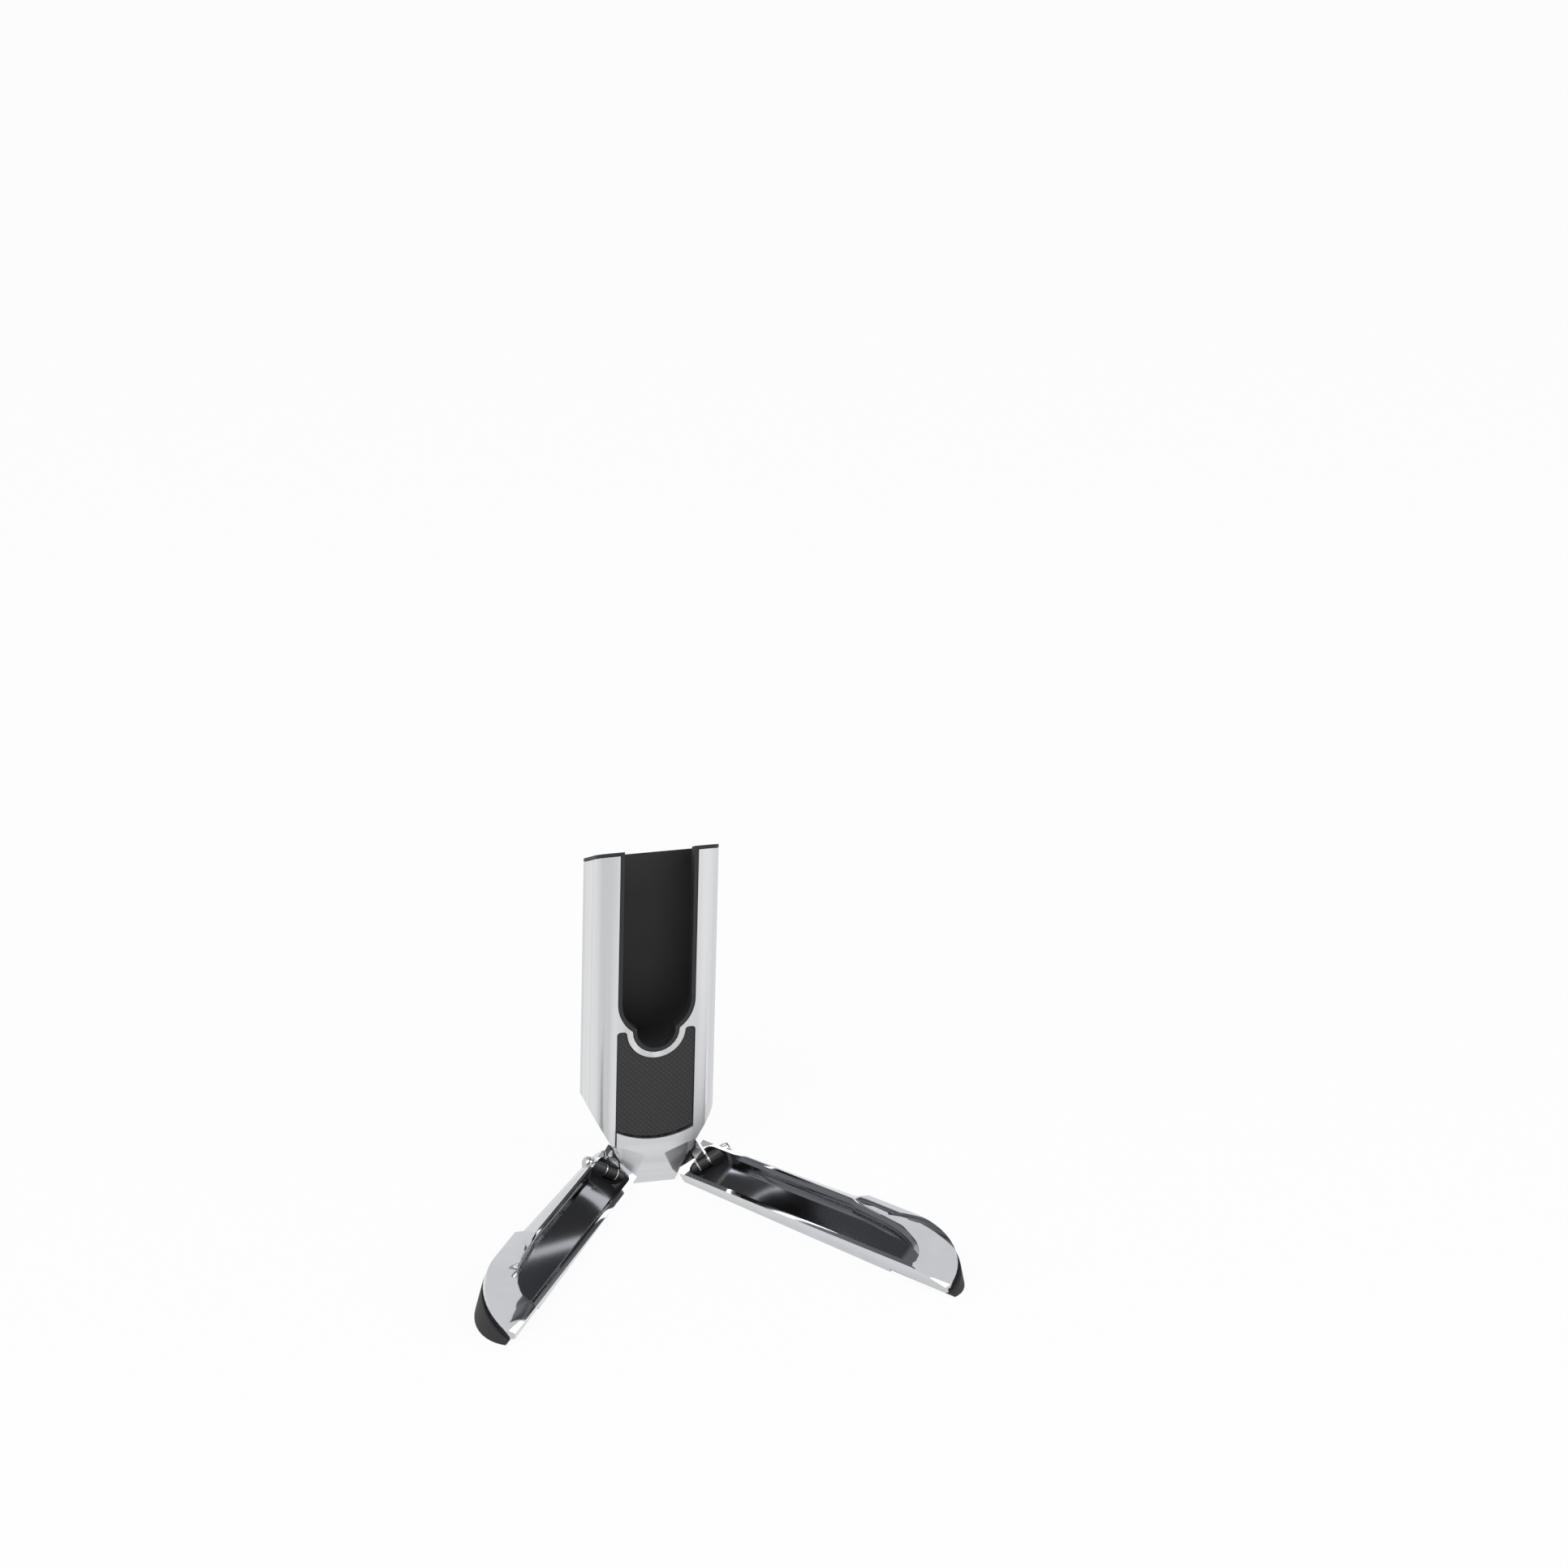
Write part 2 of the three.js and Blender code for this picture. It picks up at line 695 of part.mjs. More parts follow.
// Trims what would pass a plane of the splayed stance, given in the leg's folded frame
function splayedBlock(lowY, highY, lowZ, highZ) {
  const geometry = block(-farReach, farReach, lowY, highY, lowZ, highZ);
  return solidOf(geometry.applyQuaternion(splayTurn().invert()));
}

// What lies under the nose in the splayed stance, up to a height above the floor
function underNose(height) {
  const low = splayedBlock(-farReach, farReach, -farReach, height - hinge.height);
  const outer = block(-farReach, farReach, -farReach, farReach, footPad.startStation, farReach);
  return low.intersect(solidOf(outer));
}

// A polished leg, folded up, with its pin's middle at the origin
function legShell() {
  const radius = hinge.barrelRadius;
  let shell = legBody().subtract(dishCut());
  const ears = solidOf(ontoPin(rod(radius, innerEarEnd - radius, outerEarEnd)));
  const dishFloor = leg.rimAboveAxis - dish.depth;
  const gussets = block(dishFloor - fit, 0, -radius, radius, innerEarEnd, outerEarEnd - fit);
  const within = block(-leg.innerReach, farReach, -farReach, farReach, leg.rootStation, farReach);
  shell = shell.add(ears.add(solidOf(ontoPin(gussets))).intersect(solidOf(within)));
  const slotLow = innerEarStart;
  const slotHigh = outerEarStart;
  const slot = block(-radius - fit, leg.depth, -farReach, leg.rimAboveAxis + fit, slotLow, slotHigh);
  shell = shell.subtract(solidOf(ontoPin(slot)));
  shell = shell.subtract(splayedBlock(-farReach, farReach, -farReach, fit - hinge.height));
  shell = shell.subtract(underNose(leg.noseClearance));
  const bore = rod(boreRadius, innerEarEnd + pin.blindWall, farReach);
  shell = shell.subtract(solidOf(ontoPin(bore)));
  const spotFace = rod(pin.headRadius + fit, outerEarEnd, farReach);
  shell = shell.subtract(solidOf(ontoPin(spotFace)));
  footScrewStations.forEach((station, index) => {
    const hole = rod(footScrew.radius + fit, -overrun, footScrew.bite + fit);
    hole.rotateX(-Math.PI / 2).translate(footScrewReaches[index], legSoleY, station);
    shell = shell.subtract(solidOf(hole));
  });
  return shell;
}

// A print at a given height: each point is drawn out by the draft for its drop below the sole
function draftedPrint(print, height) {
  const draft = Math.tan(THREE.MathUtils.degToRad(footPad.draft));
  return print.map((point, index) => {
    const before = print[(index + print.length - 1) % print.length];
    const after = print[(index + 1) % print.length];
    const outward = new THREE.Vector2(before.y - after.y, after.x - before.x).normalize();
    outward.multiplyScalar(draft * Math.max(point.z - height, 0));
    return new THREE.Vector2(point.x + outward.x, -point.y - outward.y);
  });
}

// A rubber wedge that fills the space between the rolled nose and the floor, with a grooved flat sole
function footPadSolid() {
  const turn = splayTurn();
  const sole = legOutline(legSole, leg.innerReach, 0, fit);
  const nose = sole.filter(
    (point) => point.y > footPad.startStation || (point.y > footPad.outerStart && point.x > 0),
  );
  nose.push(new THREE.Vector2(-leg.innerReach, footPad.startStation));
  const print = nose.map((point) => new THREE.Vector3(point.x, legSoleY, point.y).applyQuaternion(turn));
  const top = Math.max(...print.map((point) => point.z));
  const along = new THREE.Vector3(0, 0, 1).applyQuaternion(turn);
  const ahead = new THREE.Vector2(along.x, -along.y).normalize();
  const floorPrint = draftedPrint(print, -hinge.height).map((point, index) => {
    const past = Math.max(nose[index].y - footPad.startStation, 0);
    const share = past / (legSole.tipStation - footPad.startStation);
    return point.addScaledVector(ahead, share * footPad.toe);
  });
  const levels = [
    { y: -hinge.height, points: floorPrint },
    { y: top, points: draftedPrint(print, top) },
  ];
  const prism = solidOf(stacked(levels).rotateX(Math.PI / 2));
  const ceiling = leg.noseClearance - fit - hinge.height;
  const low = solidOf(block(-farReach, farReach, -farReach, farReach, -farReach, ceiling));
  const nearNose = block(-leg.innerReach, farReach, -farReach, farReach, footPad.startStation + fit, farReach);
  const belowNose = prism.intersect(low).intersect(solidOf(nearNose.applyQuaternion(turn)));
  const behindWall = block(-leg.innerReach, farReach, -farReach, legSoleY - fit, -farReach, farReach);
  let pad = prism.intersect(solidOf(behindWall.applyQuaternion(turn))).add(belowNose);
  const middle = new THREE.Vector3(0, legSoleY, legSole.tipStation).applyQuaternion(turn);
  for (let index = 1; index <= footPad.grooveCount; index += 1) {
    const half = footPad.grooveWidth / 2;
    const groove = block(-footPad.grooveHalf, footPad.grooveHalf, -half, half, 0, footPad.grooveDepth);
    groove.rotateZ(Math.atan2(along.y, along.x) - Math.PI / 2);
    const back = footPad.grooveFromTip + index * footPad.grooveSpacing;
    groove.translate(middle.x - along.x * back, middle.y - along.y * back, -hinge.height);
    pad = pad.subtract(solidOf(groove));
  }
  footScrewStations.forEach((station, index) => {
    const head = rod(footScrew.headRadius + fit, -farReach, -footScrew.grip);
    const shank = rod(footScrew.radius + fit, -farReach, overrun);
    for (const hole of [head, shank]) {
      hole.rotateX(-Math.PI / 2).translate(footScrewReaches[index], legSoleY, station).applyQuaternion(turn);
      pad = pad.subtract(solidOf(hole));
    }
  });
  return pad;
}

// Made along the leg's own depth, with its head under the pad's shoulder
function footScrewSolid(station, reach) {
  const low = -footScrew.grip - footScrew.headHeight - fit;
  const body = solidOf(
    revolved([
      [0, low],
      [footScrew.headRadius, low],
      [footScrew.headRadius, low + footScrew.headHeight],
      [footScrew.radius, low + footScrew.headHeight],
      [footScrew.radius, footScrew.bite],
      [0, footScrew.bite],
    ]),
  );
  const socket = hexagonalSocket(footScrew.socketRadius, low - overrun, low + footScrew.socketDepth);
  const screw = geometryOf(body.subtract(solidOf(socket)));
  return screw.rotateX(-Math.PI / 2).translate(reach, legSoleY, station);
}

// Headed pin, pressed into the blind inner ear
function hingePin() {
  const headStart = outerEarEnd + fit;
  const headEnd = headStart + pin.headThickness;
  const tailEnd = innerEarEnd + pin.blindWall + fit;
  return revolved([
    [0, tailEnd],
    [pin.radius - fit, tailEnd],
    [pin.radius, tailEnd + fit],
    [pin.radius, headStart],
    [pin.headRadius, headStart],
    [pin.headRadius, headEnd - pin.headThickness / 2],
    [pin.headRadius - pin.headThickness / 2, headEnd],
    [0, headEnd],
  ]);
}

function hingeBush() {
  const low = -lugHalf - fit / 2 - bush.flangeThickness;
  const shoulder = -lugHalf - fit / 2;
  return revolved([
    [boreRadius, low],
    [bush.flangeRadius, low],
    [bush.flangeRadius, shoulder],
    [bushRadius, shoulder],
    [bushRadius, lugHalf],
    [boreRadius, lugHalf],
    [boreRadius, low],
  ]);
}

// Dished washer between the lug and the outer ear
function springWasher() {
  const low = lugHalf + fit / 2;
  const inner = boreRadius;
  return revolved([
    [inner, low],
    [washer.radius, low + washer.dish],
    [washer.radius, low + washer.dish + washer.thickness],
    [inner, low + washer.thickness],
    [inner, low],
  ]);
}

function named(name, geometry, material) {
  const mesh = new THREE.Mesh(geometry, material);
  mesh.name = name;
  return mesh;
}

const stand = new THREE.Group();
stand.add(named("cradle_shell", geometryOf(cradleShell()), satinSilver));
stand.add(named("cradle_liner", geometryOf(cradleLiner()), blackElastomer));
stand.add(named("seat_block", geometryOf(seatBlock()), mouldedGrey));
stand.add(named("front_panel", geometryOf(frontPanel()), texturedBlack));
stand.add(named("hinge_block", geometryOf(hingeBlock()), satinSilver));

const screwGeometry = geometryOf(countersunkScrew());
for (const place of rearScrewPlaces()) {
  const screw = named(place.name, screwGeometry.clone(), plainSteel);
  screw.rotation.x = -Math.PI / 2;
  screw.position.set(place.x, cradle.back, place.z);
  stand.add(screw);
}

// The left side is the right side mirrored across the cradle's middle
for (const [side, label] of [
  [1, "right"],
  [-1, "left"],
]) {
  const mirror = new THREE.Group();
  mirror.scale.x = side;
  const joint = new THREE.Group();
  joint.position.set(hinge.out, -cradle.front - hinge.forward, hinge.height);
  mirror.add(joint);
  joint.add(named(`${label}_hinge_pin`, ontoPin(hingePin()), plainSteel));
  joint.add(named(`${label}_hinge_bush`, ontoPin(hingeBush()), polymer));
  joint.add(named(`${label}_spring_washer`, ontoPin(springWasher()), plainSteel));
  joint.add(named(`${label}_foot_pad`, geometryOf(footPadSolid()), blackRubber));
  const swinging = new THREE.Group();
  swinging.quaternion.copy(splayTurn());
  swinging.add(named(`${label}_leg`, geometryOf(legShell()), polishedChrome));
  footScrewStations.forEach((station, index) => {
    const screw = footScrewSolid(station, footScrewReaches[index]);
    swinging.add(named(`${label}_foot_screw_${index + 1}`, screw, plainSteel));
  });
  joint.add(swinging);
  stand.add(mirror);
}

export default stand;
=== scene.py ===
import math

import bmesh
import bpy
from mathutils import Matrix, Quaternion, Vector


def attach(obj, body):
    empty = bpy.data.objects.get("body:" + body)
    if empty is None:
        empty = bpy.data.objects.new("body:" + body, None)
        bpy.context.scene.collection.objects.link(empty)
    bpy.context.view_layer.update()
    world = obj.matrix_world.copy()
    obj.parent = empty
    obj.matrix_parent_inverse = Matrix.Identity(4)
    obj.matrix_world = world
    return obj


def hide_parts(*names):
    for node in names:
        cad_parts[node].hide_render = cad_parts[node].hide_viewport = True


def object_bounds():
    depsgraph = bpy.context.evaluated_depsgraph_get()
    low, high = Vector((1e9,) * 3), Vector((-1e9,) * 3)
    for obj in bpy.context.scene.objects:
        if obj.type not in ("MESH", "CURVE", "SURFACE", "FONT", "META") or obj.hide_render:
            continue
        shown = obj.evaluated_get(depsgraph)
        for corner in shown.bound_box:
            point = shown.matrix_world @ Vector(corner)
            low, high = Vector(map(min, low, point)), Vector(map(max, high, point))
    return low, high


bl_info = {
    "name": "Crank arm display stand",
    "version": (1, 0, 0),
    "blender": (4, 5, 0),
    "location": "View3D > Sidebar > Display stand",
    "description": "Finishes and stage for a folding stand that holds a bicycle by its crank arm",
    "category": "Object",
}

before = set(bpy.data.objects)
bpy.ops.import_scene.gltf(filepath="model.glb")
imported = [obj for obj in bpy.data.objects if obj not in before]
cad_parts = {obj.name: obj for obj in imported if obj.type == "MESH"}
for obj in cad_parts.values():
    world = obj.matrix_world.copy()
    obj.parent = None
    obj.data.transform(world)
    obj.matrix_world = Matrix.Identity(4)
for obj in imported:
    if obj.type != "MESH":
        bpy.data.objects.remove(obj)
CAD_LOW, CAD_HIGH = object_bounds()
MM = 0.001
SIDES = ("left", "right")

# The right leg's pin, and the leg's own directions where it stands splayed out, in millimetres
PIN_MIDDLE = Vector((17.0, -14.5, 7.2))
SPLAY = Quaternion((math.cos(math.radians(29)), 0, math.sin(math.radians(29))), math.radians(106))
ACROSS_LEG = SPLAY @ Vector((1, 0, 0))
OUT_OF_DISH = SPLAY @ Vector((0, 1, 0))
ALONG_LEG = SPLAY @ Vector((0, 0, 1))

# The facet on the hub's front beside each leg, in millimetres: its corners as seen from the front,
# with the edge where it starts first, and how far it falls back for each millimetre from that edge
FACET_CORNERS = ((3.5, 10.9), (6.5, 4.2), (8.6, 2.0), (12.0, 7.8), (12.0, 14.4))
FACET_FALL = 0.2

# The hub's front, how far before it the facets' cut starts, and how far back their painted shade reaches
HUB_FRONT = -11.2
CUT_MARGIN = 2.0
FACET_SHADE_BACK = -9.3

# How much of the right facet's painted shade the left one has, since the left facet is lit more
LEFT_FACET_SHADE = 0.25

# The hub's flank, where its lug starts: how far it is from the middle at the floor, and how far it
# moves outward for each millimetre up
FLANK_FOOT = 7.5
FLANK_SLOPE = 0.533

# Where the painted dark reflection on the dish's floor and the painted shade in the hinge's recess lie
# on the right leg, in millimetres from the pin's middle: across the dish, along it and from its bottom
# up, and the same for the recess at its root
DISH_ACROSS = (-7.6, 6.4)
DISH_ALONG = (-2.6, 95)
DISH_FLOOR = (-3.7, -1.6)
RECESS_ALONG = (-2.6, 8.5)
RECESS_DEPTH = (-3.7, 2.5)

# The stretch of the hub's lug that shows in the leg's rim, along the leg, and how high its top starts
RIM_ALONG = (-4.4, -1.2)
RIM_TOP = 2.5

# Painted near black shade in the hinges, and the width over which one finish turns into another
HINGE_SHADE = "242426"
SHARP_MM = 0.1

# Edges sharper than this are broken with a small bevel, and points closer than this are joined first
BROKEN_EDGE_DEGREES = 25
SEAM_MM = 0.002

# The camera's lens, the point of the cradle that it is set by, and how far to the right of and above
# that point it looks, so that the cradle stands left of and below the picture's middle
LENS_MM = 167.7
LOOKED_AT = Vector((0, -3, 64))
LOOKED_ASIDE = Vector((46.57, 79.14))

# Height above the floor of the glowing cards that give the dishes a painted dark reflection, in metres
CARD_LEVEL = 0.9


def linear(hex_colour):
    """Linear RGBA of an sRGB hex colour such as D0D2D4."""
    channels = [int(hex_colour[i : i + 2], 16) / 255 for i in (0, 2, 4)]
    return (
        *[c / 12.92 if c <= 0.04045 else ((c + 0.055) / 1.055) ** 2.4 for c in channels],
        1.0,
    )


def add_node(tree, kind, links=None, values=None, **settings):
    """Adds a node with its settings, its unlinked values and its input links."""
    node = tree.nodes.new(kind)
    for key, value in settings.items():
        setattr(node, key, value)
    for socket, value in (values or {}).items():
        node.inputs[socket].default_value = value
    for socket, source in (links or {}).items():
        tree.links.new(source, node.inputs[socket])
    return node


def cells(size_mm):
    """Texture scale that gives one cell for each stretch of this many millimetres."""
    return 1 / (size_mm * MM)


def start_material(name, colour, metallic, roughness):
    """A material with a Principled shader and coordinates fixed to the piece."""
    material = bpy.data.materials.new(name)
    material.use_nodes = True
    tree = material.node_tree
    shader = tree.nodes["Principled BSDF"]
    shader.inputs["Base Color"].default_value = linear(colour)
    shader.inputs["Metallic"].default_value = metallic
    shader.inputs["Roughness"].default_value = roughness
    place = add_node(tree, "ShaderNodeTexCoord")
    return material, tree, shader, place.outputs["Object"]


def fraction(tree, value, start, end, first=0.0, last=1.0):
    """Runs from one number to another while a value goes from a start to an end."""
    return add_node(
        tree,
        "ShaderNodeMapRange",
        {"Value": value},
        {"From Min": start, "From Max": end, "To Min": first, "To Max": last},
    ).outputs["Result"]


def spread(tree, factor, low, high):
    """Maps a 0 to 1 factor onto a range."""
    return fraction(tree, factor, 0.0, 1.0, low, high)


def opposite(tree, mask):
    """0 where a mask is 1, and 1 where it is 0."""
    return spread(tree, mask, 1.0, 0.0)


def mixed(tree, factor, *ends):
    """Blends two ends by a factor; each is a socket, or four numbers."""
    blend = add_node(tree, "ShaderNodeMix", {"Factor": factor}, data_type="RGBA")
    for socket, end in zip([s for s in blend.inputs if s.type == "RGBA"], ends):
        if isinstance(end, tuple):
            socket.default_value = end
        else:
            tree.links.new(end, socket)
    return next(s for s in blend.outputs if s.type == "RGBA")


def tint(tree, factor, first, second):
    """Mixes two hex colours by a factor."""
    return mixed(tree, factor, linear(first), linear(second))


def relief(tree, shader, height, depth_mm, normal=None):
    """Bump of a real depth in millimetres, on top of another normal where one is given."""
    links = {"Height": height}
    if normal:
        links["Normal"] = normal
    bump = add_node(
        tree, "ShaderNodeBump", links, {"Strength": 1.0, "Distance": depth_mm * MM}
    )
    tree.links.new(bump.outputs["Normal"], shader.inputs["Normal"])
    return bump.outputs["Normal"]


def waves(tree, place, period_mm, direction):
    """Straight sine bands, one for each stretch of this many millimetres."""
    # At a scale of 1 the texture turns by 20 radians over one unit of length
    band = add_node(
        tree,
        "ShaderNodeTexWave",
        {"Vector": place},
        {"Scale": math.tau / 20 * cells(period_mm)},
        bands_direction=direction,
    )
    return band.outputs["Fac"]


def combined(tree, first, second, operation):
    """Two values put together by a sum, a product or the like."""
    return add_node(
        tree, "ShaderNodeMath", {0: first, 1: second}, operation=operation
    ).outputs[0]


def between(tree, value, low, high, high_blur=SHARP_MM):
    """1 where a value lies between two levels, and 0 elsewhere."""
    rise = fraction(tree, value, low - SHARP_MM / 2, low + SHARP_MM / 2)
    fall = fraction(tree, value, high - high_blur / 2, high + high_blur / 2, 1.0, 0.0)
    return combined(tree, rise, fall, "MULTIPLY")


def laid_over(tree, place):
    """Coordinates with the left half of the stand laid over its right half."""
    parts = add_node(tree, "ShaderNodeSeparateXYZ", {"Vector": place}).outputs
    aside = add_node(tree, "ShaderNodeMath", {0: parts["X"]}, operation="ABSOLUTE").outputs[0]
    return add_node(
        tree, "ShaderNodeCombineXYZ", {"X": aside, "Y": parts["Y"], "Z": parts["Z"]}
    ).outputs[0]


def reach(tree, place, direction, start):
    """Millimetres along a direction, from the start point."""
    way = Vector(direction)
    run = add_node(
        tree, "ShaderNodeVectorMath", {0: place}, {1: way}, operation="DOT_PRODUCT"
    ).outputs["Value"]
    return add_node(
        tree,
        "ShaderNodeMath",
        {0: run},
        {1: 1 / MM, 2: -way.dot(Vector(start))},
        operation="MULTIPLY_ADD",
    ).outputs[0]


def refinished(tree, shader, mask, colour, metallic, roughness):
    """Gives the masked part of a piece another colour, share of metal and roughness."""
    finish = {
        "Base Color": linear(colour),
        "Metallic": (metallic, metallic, metallic, 1.0),
        "Roughness": (roughness, roughness, roughness, 1.0),
    }
    for name, end in finish.items():
        socket = shader.inputs[name]
        if socket.is_linked:
            start = socket.links[0].from_socket
        else:
            start = (socket.default_value,) * 3 + (1.0,)
        tree.links.new(mixed(tree, mask, start, end), socket)


def stretched(tree, place, scale):
    """Coordinates scaled by a different amount along each axis."""
    mapping = add_node(tree, "ShaderNodeMapping", {"Vector": place}, {"Scale": scale})
    return mapping.outputs["Vector"]


def noise(tree, place, size_mm, detail=2.0):
    """Soft random cloud from 0 to 1, with patches of about this many millimetres."""
    texture = add_node(
        tree,
        "ShaderNodeTexNoise",
        {"Vector": place},
        {"Scale": cells(size_mm), "Detail": detail},
    )
    return texture.outputs["Fac"]


def satin_anodised_aluminium(look, grain, palest):
    """Etched and clear anodised aluminium: pale and silky, with faint lines along its grain."""
    material, tree, shader, place = start_material(
        "satin_anodised_aluminium", look.cradle_colour, 1.0, look.cradle_roughness
    )
    # Die lines or machining marks, drawn at 0.5 mm so that they show, over broad soft bands
    along = stretched(tree, place, grain)
    lines = noise(tree, along, 0.5)
    etch = noise(tree, place, 0.35, 3.0)
    bands = fraction(tree, noise(tree, along, 6.0), 0.35, 0.65)
    tree.links.new(
        spread(tree, lines, look.cradle_roughness - 0.05, look.cradle_roughness + 0.05),
        shader.inputs["Roughness"],
    )
    tree.links.new(tint(tree, bands, look.cradle_colour, palest), shader.inputs["Base Color"])
    relief(tree, shader, lines, 0.004, relief(tree, shader, etch, 0.004))
    return material


def satin_hub(look):
    """The cradle's satin finish on the hub, with painted shade on the facets beside the legs and on the
    lugs.
    """
    material = satin_anodised_aluminium(look, (0.02, 0.02, 1), "D6D7D9")
    material.name = "satin_anodised_hub"
    tree = material.node_tree
    shader = tree.nodes["Principled BSDF"]
    place = add_node(tree, "ShaderNodeTexCoord").outputs["Object"]
    aside = laid_over(tree, place)
    # The facets are painted darker than the front as shade, the right one fully and the left one less,
    # inside the three of their edges that show on it
    corners = [Vector((x, HUB_FRONT, z)) for x, z in FACET_CORNERS]
    back = reach(tree, aside, (0, 1, 0), (0, FACET_SHADE_BACK, 0))
    facet = opposite(tree, fraction(tree, back, 0.0, SHARP_MM))
    for first, second in ((0, 1), (1, 2), (4, 0)):
        edge = corners[second] - corners[first]
        inward = Vector((-edge.z, 0, edge.x)).normalized()
        past_edge = fraction(tree, reach(tree, aside, inward, corners[first]), 0.05, 0.2)
        facet = combined(tree, facet, past_edge, "MULTIPLY")
    to_right = reach(tree, place, (1, 0, 0), (0, 0, 0))
    painted_dark = combined(tree, facet, fraction(tree, to_right, -1.0, 1.0, LEFT_FACET_SHADE, 1.0), "MULTIPLY")
    refinished(tree, shader, painted_dark, "A09EA1", metallic=1.0, roughness=0.36)
    # The lugs start where the hub's sloping flank ends and are painted near black as shade in the hinge;
    # their ends close the gap in the leg's rim
    past_flank = reach(tree, aside, (1, 0, -FLANK_SLOPE), (FLANK_FOOT, 0, 0))
    in_rim = between(tree, reach(tree, aside, ALONG_LEG, PIN_MIDDLE), *RIM_ALONG)
    height = reach(tree, aside, OUT_OF_DISH, PIN_MIDDLE)
    on_top = fraction(tree, height, RIM_TOP - SHARP_MM, RIM_TOP + SHARP_MM)
    strip = combined(tree, in_rim, on_top, "MULTIPLY")
    lugs = combined(tree, fraction(tree, past_flank, 0.2, 0.4), opposite(tree, strip), "MULTIPLY")
    refinished(tree, shader, lugs, HINGE_SHADE, metallic=0.25, roughness=0.5)
    return material


def polished_chrome(look):
    """Cast alloy, polished and chromium plated, with a slight wave, a painted dark reflection on the
    floor of the dish and painted shade in the hinge's recess.
    """
    material, tree, shader, place = start_material(
        "polished_chrome_plate", look.leg_colour, 1.0, look.leg_roughness
    )
    haze = noise(tree, place, 7.0, 3.0)
    wave = noise(tree, place, 24.0, 0.0)
    tree.links.new(
        spread(tree, haze, look.leg_roughness * 0.5, look.leg_roughness * 1.8),
        shader.inputs["Roughness"],
    )
    tree.links.new(tint(tree, haze, look.leg_colour, "BEBFC3"), shader.inputs["Base Color"])
    relief(tree, shader, wave, 0.02)
    # The floor of the dish is painted darker: a painted reflection of the dark things above it
    aside = laid_over(tree, place)
    along = reach(tree, aside, ALONG_LEG, PIN_MIDDLE)
    within = between(tree, reach(tree, aside, ACROSS_LEG, PIN_MIDDLE), *DISH_ACROSS)
    height = reach(tree, aside, OUT_OF_DISH, PIN_MIDDLE)
    low = between(tree, height, *DISH_FLOOR, high_blur=1.4)
    painted_dark = combined(tree, between(tree, along, *DISH_ALONG, high_blur=2.0), low, "MULTIPLY")
    painted_dark = combined(tree, within, painted_dark, "MULTIPLY")
    refinished(tree, shader, painted_dark, look.painted_dish_reflection, metallic=1.0, roughness=0.1)
    # The hinge's recess at the root of the dish is painted near black as shade
    root = combined(tree, between(tree, along, *RECESS_ALONG, high_blur=2.5), within, "MULTIPLY")
    recess = combined(tree, between(tree, height, *RECESS_DEPTH), root, "MULTIPLY")
    refinished(tree, shader, recess, HINGE_SHADE, metallic=0.25, roughness=0.45)
    return material


def moulded_elastomer(look):
    """Injection moulded thermoplastic elastomer: soft black with a fine matt grain."""
    material, tree, shader, place = start_material(
        "moulded_elastomer", look.liner_colour, 0.0, 0.62
    )
    grain = noise(tree, place, 0.4, 3.0)
    cloud = noise(tree, place, 9.0)
    tree.links.new(spread(tree, cloud, 0.52, 0.7), shader.inputs["Roughness"])
    tree.links.new(tint(tree, cloud, look.liner_colour, "1F1F21"), shader.inputs["Base Color"])
    relief(tree, shader, grain, 0.02)
    return material


def woven_texture_panel(look):
    """Black moulded panel with an etched diagonal weave, raised where its tows cross."""
    material, tree, shader, place = start_material(
        "weave_textured_panel", look.panel_colour, 0.0, 0.5
    )
    turned = add_node(
        tree,
        "ShaderNodeMapping",
        {"Vector": place},
        {"Rotation": (0, math.radians(45), 0)},
    ).outputs["Vector"]
    crossings = combined(
        tree,
        waves(tree, turned, look.weave_mm, "X"),
        waves(tree, turned, look.weave_mm, "Z"),
        "MULTIPLY",
    )
    wear = noise(tree, place, 1.1)
    tows = combined(tree, crossings, wear, "MULTIPLY")
    tree.links.new(tint(tree, tows, look.panel_colour, "403F42"), shader.inputs["Base Color"])
    tree.links.new(spread(tree, crossings, 0.62, 0.5), shader.inputs["Roughness"])
    relief(tree, shader, crossings, 0.06)
    return material


def moulded_nylon(look):
    """Glass filled nylon, moulded in a spark eroded tool: dark grey with an even fine texture."""
    material, tree, shader, place = start_material("moulded_nylon", look.seat_colour, 0.0, 0.55)
    grain = noise(tree, place, 0.6, 4.0)
    cloud = noise(tree, place, 8.0)
    tree.links.new(spread(tree, cloud, 0.48, 0.62), shader.inputs["Roughness"])
    tree.links.new(tint(tree, grain, look.seat_colour, "434448"), shader.inputs["Base Color"])
    relief(tree, shader, grain, 0.03)
    return material


def moulded_rubber(look):
    """Compression moulded natural rubber: black, dry and slightly dusty, with a pebbled skin."""
    material, tree, shader, place = start_material("moulded_rubber", look.foot_colour, 0.0, 0.78)
    pebble = add_node(
        tree, "ShaderNodeTexVoronoi", {"Vector": place}, {"Scale": cells(0.7)}
    ).outputs["Distance"]
    dust = noise(tree, place, 5.0, 4.0)
    tree.links.new(spread(tree, dust, 0.66, 0.86), shader.inputs["Roughness"])
    tree.links.new(tint(tree, dust, look.foot_colour, "2A2A2C"), shader.inputs["Base Color"])
    relief(tree, shader, pebble, 0.03)
    return material


